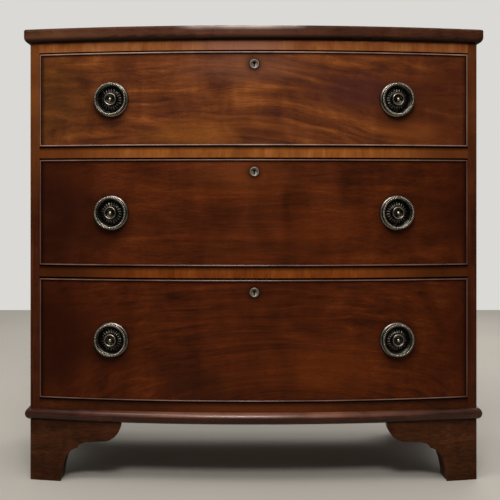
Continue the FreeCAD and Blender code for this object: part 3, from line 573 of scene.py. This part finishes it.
# ---- Pieces with their arrises eased, in place of the sharp solids ----
FLAT_ANGLE = math.radians(0.05)      # faces that turn by less than this are one
ARRIS_ANGLE = math.radians(40)       # edges that turn by more than this are eased
ARRIS_MM = {
    "top": 1.0,
    "side_left": 0.6, "side_right": 0.6,
    "top_rail_front": 0.4, "divider_upper": 0.4, "divider_lower": 0.4, "bottom_rail": 0.4,
    "base_moulding_front": 0.4, "base_moulding_left": 0.4, "base_moulding_right": 0.4,
    "foot_front_left": 0.8, "foot_front_right": 0.8, "foot_rear_left": 0.8, "foot_rear_right": 0.8,
    "back_boards": 2.0,
}
LINING_ARRIS = 0.5 * MM
COCKBEAD_ARRIS = 0.35 * MM
FRONT_ARRIS = 0.4 * MM
PIVOT_HOLE_CUT = 3 * MM              # from the middle of a hole to the cuts above and below it
CENTRE_HOLE_CUT = 4 * MM


def eased(node, arris, cuts=()):
    """A copy of a solid with its sharp arrises rounded, as every planed and polished board has them.

    cuts are the heights just below and above its holes: the faces are parted there, so that the shading of
    the bow isn't disturbed beyond them.
    """
    piece = twin(NODES[node], node + "_eased")
    hold(piece)
    bpy.ops.mesh.customdata_custom_splitnormals_clear()
    bpy.ops.object.mode_set(mode="EDIT")
    bpy.ops.mesh.select_all(action="SELECT")
    bpy.ops.mesh.remove_doubles(threshold=WELD)
    bpy.ops.mesh.dissolve_limited(angle_limit=FLAT_ANGLE)
    for height in cuts:
        bpy.ops.mesh.select_all(action="SELECT")
        bpy.ops.mesh.bisect(plane_co=(0, 0, height), plane_no=(0, 0, 1))
    done()
    bevel = piece.modifiers.new("arris", "BEVEL")
    bevel.width = arris
    bevel.segments = 2
    bevel.limit_method = "ANGLE"
    bevel.angle_limit = ARRIS_ANGLE
    bpy.ops.object.modifier_apply(modifier="arris")
    smooth(piece, 44)
    flat = piece.modifiers.new("flat", "WEIGHTED_NORMAL")
    flat.keep_sharp = True
    bpy.ops.object.modifier_apply(modifier="flat")
    dress(piece, FINISH[node], node)


def front_cuts(drawer):
    """Heights just below and above the holes of a drawer front: its bolts' and its keyhole plate's."""
    pivot_z = SWING[f"{drawer}_ring_left"]["pos_m"][2]
    holes = ((pivot_z, PIVOT_HOLE_CUT), (pivot_z - RING_R, CENTRE_HOLE_CUT))
    half_w, low, high = edges_of(f"{drawer}_escutcheon")
    return [z + way * reach for z, reach in holes for way in (-1, 1)] + [low, high]


for node, arris in ARRIS_MM.items():
    eased(node, arris * MM)
for drawer in DRAWERS:
    for part in ("side_left", "side_right", "back"):
        eased(f"{drawer}_{part}", LINING_ARRIS)
    eased(f"{drawer}_cockbeads", COCKBEAD_ARRIS)
    eased(f"{drawer}_front", FRONT_ARRIS, front_cuts(drawer))


# ---- Ring handles: a chased rosette and a beaded ring, made at the origin facing -Y ----
FLUTES = 22
STEPS_PER_FLUTE = 6
BEADS = 59
STEPS_PER_BEAD = 4
RING_SECTION_POINTS = 14
RING_GAP = 2.6 * MM          # from the middle of the knuckle to each end of the ring
RING_OPENING = math.asin(RING_GAP / RING_R)
RING_SWEEP = math.tau - 2 * RING_OPENING
PIN_R = 1.0 * MM
PIN_TIP = 0.5 * MM           # from the middle of the knuckle to the tip of each pin
PIN_ROOT = 1.2 * MM          # how deep a pin goes into the end of the ring

# (radius, height off the wood, how much it is rubbed), in mm, from the bore over the boss to the rim
ROSETTE = (
    (2.1, 0, 0), (2.1, 10.4, 0.1), (7.9, 10.4, 0.1), (8.4, 10.8, 0.1), (8.8, 12.2, 0.2), (9.2, 13.4, 0.4),
    (9.8, 14.1, 0.55), (10.5, 14.4, 0.6), (11.2, 14.1, 0.5), (11.8, 13.3, 0.4), (12.2, 12.0, 0.2),
    (12.5, 9.6, 0.1), (12.9, 7.0, 0.0), (13.4, 5.1, 0.1), (14.2, 4.7, 0.0), (15.6, 4.2, 0.0),
    (17.2, 3.6, 0.0), (18.8, 3.05, 0.0), (20.2, 2.6, 0.0), (21.4, 2.3, 0.0), (22.9, 2.15, 0.0),
    (24.4, 2.1, 0.0), (25.2, 2.7, 0.1), (25.9, 3.7, 0.2), (26.6, 4.6, 0.25), (27.4, 5.1, 0.3),
    (28.4, 5.2, 0.2), (30.2, 5.2, 0.2), (31.2, 5.0, 0.45), (32.2, 4.2, 0.6), (32.9, 3.0, 0.6),
    (33.25, 1.8, 0.4), (33.4, 0.7, 0.1), (33.4, 0, 0),
)
# By the radii of ROSETTE: how deep the middle of a flute is, and how much the rib beside it is rubbed
FLUTE_DEPTH = {14.2: 0.4, 15.6: 0.85, 17.2: 0.95, 18.8: 0.8, 20.2: 0.45}
RIB_RUB = {12.5: 0.35, 12.9: 0.4, 13.4: 0.45, 14.2: 0.5, 15.6: 0.5, 17.2: 0.4, 18.8: 0.25, 20.2: 0.1}
# Across a flute, from its middle: the phases between which points sink, and by what share of its depth
FLUTE_SECTION = ((-0.01, 0.2, 1.0), (0.2, 0.4, 0.72))
RIB_FOOT = 0.3               # phase where a rib begins
RIB_TOP = 0.45               # and where it is fully rubbed
# Round a bead, from one waist to the next: how much its points draw in, in mm, and how much they are rubbed
BEAD_WAISTS = (((0,), 0.75), ((1, 3), 0.2))
BEAD_RUB = (0.0, 0.45, 0.9, 0.45)


def radius_of(spot):
    return math.hypot(spot.x, spot.z)


def grip_and_glint(spot):
    """How bright a point is made: fully at the top and the bottom, half as much at the sides; partly finger
    wear, partly painted highlight.
    """
    return 0.55 + 0.45 * (spot.z / radius_of(spot)) ** 2


def phase_of(spot):
    """Where a point lies across its flute: 0 in the middle, 0.5 on the rib."""
    turns = math.atan2(spot.z, spot.x) / math.tau * FLUTES
    return abs(turns - round(turns))


def plate_rub(spot):
    """How bright a point of the rosette is made: as its profile says, or more where it lies on a rib, and
    dimmer at the sides as part of the painted highlight.
    """
    radius, height, rub = min(
        ROSETTE, key=lambda p: abs(p[0] * MM - radius_of(spot)) + abs(p[1] * MM + spot.y) / 4)
    if phase_of(spot) > RIB_FOOT:
        rib = RIB_RUB.get(radius, 0.0)
        rub = max(rub, rib if phase_of(spot) > RIB_TOP else rib / 2)
    return rub * grip_and_glint(spot)


def rosette():
    """The backplate: a boss with a recess, ribs round it, a plain dish and a rolled rim."""
    deselect()
    bpy.ops.mesh.primitive_plane_add(size=MM)
    piece = bpy.context.object
    bpy.ops.object.mode_set(mode="EDIT")
    bpy.ops.mesh.merge(type="CENTER")
    points = [Vector((radius, -height, 0)) * MM for radius, height, rub in ROSETTE]
    bpy.ops.transform.translate(value=points[0])
    for here, there in zip(points, points[1:]):
        bpy.ops.mesh.extrude_region_move(TRANSFORM_OT_translate={"value": there - here})
    bpy.ops.mesh.select_all(action="SELECT")
    bpy.ops.mesh.spin(steps=FLUTES * STEPS_PER_FLUTE, angle=math.tau, center=(0, 0, 0), axis=(0, 1, 0))
    bpy.ops.mesh.select_all(action="SELECT")
    bpy.ops.mesh.remove_doubles(threshold=SPIN_WELD)
    bpy.ops.mesh.normals_make_consistent(inside=False)
    done()
    # The flutes: each ring of points between two ribs is pressed in, most in its middle.
    for ring_r, depth in FLUTE_DEPTH.items():
        for low, high, share in FLUTE_SECTION:
            editing(piece, lambda spot: abs(radius_of(spot) - ring_r * MM) < 0.05 * MM
                    and spot.y < -2 * MM and low < phase_of(spot) < high)
            bpy.ops.transform.translate(value=(0, depth * share * MM, 0))
            done()
    mark_brightness(piece, plate_rub)
    smooth(piece, 60)
    return piece


def ring_step(spot):
    """How many steps round the ring a point lies from the end right of the knuckle."""
    turn = math.atan2(spot.x, spot.z) % math.tau
    return round((turn - RING_OPENING) / RING_SWEEP * BEADS * STEPS_PER_BEAD)


def ring_rub(spot):
    """How bright a point of the ring is made: most on the crest of a bead, less at the back, and dimmer at
    the sides as part of the painted highlight.
    """
    crest = BEAD_RUB[ring_step(spot) % STEPS_PER_BEAD]
    return grip_and_glint(spot) * (crest if spot.y < RING_TUBE_R / 3 else crest / 3)


def beaded_ring():
    """The ring, a string of beads broken at the top, with a pin on each end."""
    deselect()
    bpy.ops.mesh.primitive_circle_add(vertices=RING_SECTION_POINTS, radius=RING_TUBE_R,
                                      location=(0, 0, RING_R))
    piece = bpy.context.object
    bpy.ops.object.transform_apply(location=True)
    editing(piece)
    # The circle is stood upright across the ring, moved to the end right of the knuckle, and spun.
    bpy.ops.transform.rotate(value=math.pi / 2, orient_axis="Y", center_override=(0, 0, RING_R))
    bpy.ops.transform.rotate(value=-RING_OPENING, orient_axis="Y", center_override=(0, 0, 0))
    bpy.ops.mesh.spin(steps=BEADS * STEPS_PER_BEAD, angle=RING_SWEEP, center=(0, 0, 0), axis=(0, -1, 0))
    bpy.ops.mesh.select_all(action="SELECT")
    bpy.ops.mesh.remove_doubles(threshold=SPIN_WELD)
    bpy.ops.mesh.fill_holes(sides=0)
    bpy.ops.mesh.select_all(action="SELECT")
    bpy.ops.mesh.normals_make_consistent(inside=False)
    done()
    for steps, waist in BEAD_WAISTS:
        editing(piece, lambda spot: ring_step(spot) % STEPS_PER_BEAD in steps)
        bpy.ops.transform.shrink_fatten(value=-waist * MM)
        done()
    mark_brightness(piece, ring_rub)
    pins = []
    for side in (-1, 1):
        length = RING_GAP + PIN_ROOT - PIN_TIP
        bpy.ops.mesh.primitive_cylinder_add(vertices=16, radius=PIN_R, depth=length,
                                            rotation=(0, math.pi / 2, 0),
                                            location=(side * (PIN_TIP + length / 2), 0, RING_R))
        pins.append(bpy.context.object)
        bpy.ops.object.transform_apply(location=True, rotation=True)
    hold(piece, *pins)
    bpy.ops.object.join()
    smooth(piece, 60)
    return piece


def handle_place(joint):
    """Where a handle's own origin lies on the drawer front, and its turn to face out of the bow."""
    turn = math.atan2(-joint["axis"][1], -joint["axis"][0])
    outward = Vector((math.sin(turn), -math.cos(turn), 0))
    return Vector(joint["pos_m"]) - outward * RING_OUT - Vector((0, 0, RING_R)), turn


def rubbed_fixings(node, handle_z):
    """The bolts of two handles: the buttons in the bosses rubbed bright, the knuckles and nuts dark."""
    piece = twin(NODES[node], node + "_rubbed")
    weld(piece)
    mark_brightness(piece, lambda spot: 0.8 if abs(spot.z - handle_z) < RING_R / 2 else 0.45)
    smooth(piece, 40)
    dress(piece, HANDLE_BRASS, node)


# ---- Keyhole plates ----
ESCUTCHEON_RIM_R = 1.3 * MM
ESCUTCHEON_PIN_R = 0.8 * MM
ESCUTCHEON_PIN_X = 5.4 * MM


def rubbed_escutcheon(node):
    """A keyhole plate: its face bright, its rim duller, its hole painted dark as shade, a small pin on each
    side of it.
    """
    piece = twin(NODES[node], node + "_pinned")
    half_w, low, high = edges_of(node)
    face = min(corner[1] for corner in piece.bound_box) + ESCUTCHEON_RIM_R

    def rub(spot):
        raised = spot.y < face - 0.5 * MM
        sunk = spot.y > face + 0.3 * MM
        # the sunk points, in the keyhole, are painted dark as shade
        return 0.55 if raised else 0.0 if sunk else 0.85

    weld(piece)
    pins = []
    for side in (-1, 1):
        bpy.ops.mesh.primitive_uv_sphere_add(segments=12, ring_count=8, radius=ESCUTCHEON_PIN_R,
                                             location=(side * ESCUTCHEON_PIN_X, face, (low + high) / 2))
        pins.append(bpy.context.object)
        bpy.ops.object.transform_apply(location=True)
    hold(piece, *pins)
    bpy.ops.object.join()
    mark_brightness(piece, rub)
    smooth(piece, 40)
    dress(piece, ESCUTCHEON_BRASS, node)


plate_pattern = rosette()
ring_pattern = beaded_ring()
for drawer in DRAWERS:
    plates = []
    for side in SIDES:
        node = f"{drawer}_ring_{side}"
        place, turn = handle_place(SWING[node])
        plates.append(twin(plate_pattern, f"{drawer}_rosettes_chased"))
        set_at(plates[-1], place, turn)
        ring = twin(ring_pattern, node + "_beaded")
        set_at(ring, Vector(SWING[node]["pos_m"]) - Vector((0, 0, RING_R)), turn)
        dress(ring, HANDLE_BRASS, node)
    hold(*plates)
    bpy.ops.object.join()
    dress(plates[0], HANDLE_BRASS, f"{drawer}_rosettes")
    rubbed_fixings(f"{drawer}_handle_bolts", place.z)
    rubbed_escutcheon(f"{drawer}_escutcheon")
for pattern in (plate_pattern, ring_pattern):
    bpy.data.objects.remove(pattern)


# ---- Studio: a pale floor in pale air, soft light from above, in front and behind ----
FLOOR_SIZE = 9.0
FLOOR_Y = -1.56              # of the middle of the floor
AIR = "dbd9d5"
FOCAL_MM = 78.98
SENSOR_MM = 36
CAMERA_SHIFT = (0.0552, -0.1088)
CAMERA_PLACE = (-0.060, -2.304, 0.547)


def studio_floor():
    deselect()
    bpy.ops.mesh.primitive_plane_add(size=1)
    floor = bpy.context.object
    floor.name = "studio_floor"
    bpy.ops.object.mode_set(mode="EDIT")
    bpy.ops.transform.resize(value=(FLOOR_SIZE, FLOOR_SIZE, 1))
    bpy.ops.transform.translate(value=(0, FLOOR_Y, 0))
    done()
    floor.data.materials.append(floor_paint())


def softbox(name, place, aim, size, watts):
    lamp = bpy.data.lights.new(name, "AREA")
    lamp.shape = "RECTANGLE"
    lamp.size, lamp.size_y = size
    lamp.energy = watts
    holder = bpy.data.objects.new(name, lamp)
    holder.location = place
    holder.rotation_euler = (Vector(aim) - Vector(place)).to_track_quat("-Z", "Y").to_euler()
    holder.visible_camera = False
    bpy.context.scene.collection.objects.link(holder)


def sky():
    """Soft light from above; the air itself shows pale behind the chest."""
    world = bpy.data.worlds.new("studio_air")
    bpy.context.scene.world = world
    world.use_nodes = True
    tree = world.node_tree
    tree.nodes.clear()
    axes = add(tree, "SeparateXYZ", {0: add(tree, "TexCoord").outputs["Generated"]})
    strength = between(tree, axes.outputs["Z"], (0.0, 1.0), (0.04, 0.9))
    light = add(tree, "Background", {"Color": (1, 1, 1, 1), "Strength": strength})
    air = add(tree, "Background", {"Color": tone(AIR), "Strength": 1.0})
    seen = add(tree, "LightPath").outputs["Is Camera Ray"]
    add(tree, "OutputWorld", {"Surface": add(tree, "MixShader", {0: seen, 1: light, 2: air})})


def camera():
    lens = bpy.data.cameras.new("camera")
    lens.lens = FOCAL_MM
    lens.sensor_width = SENSOR_MM
    lens.shift_x, lens.shift_y = CAMERA_SHIFT
    holder = bpy.data.objects.new("camera", lens)
    holder.location = CAMERA_PLACE
    holder.rotation_euler = (math.pi / 2, 0, 0)
    bpy.context.scene.collection.objects.link(holder)
    bpy.context.scene.camera = holder


studio_floor()
softbox("overhead_softbox", (-0.35, -1.15, 2.0), (0, -0.24, 0.55), (1.4, 0.7), 20)
softbox("key_softbox", (-0.1, -2.7, 2.35), (0, -0.24, 0.5), (0.8, 0.6), 54)
softbox("rear_softbox", (0.8, 2.2, 2.2), (0, 0.2, 0.4), (2.0, 1.0), 40)
sky()
camera()
bpy.context.scene.view_settings.view_transform = "Standard"
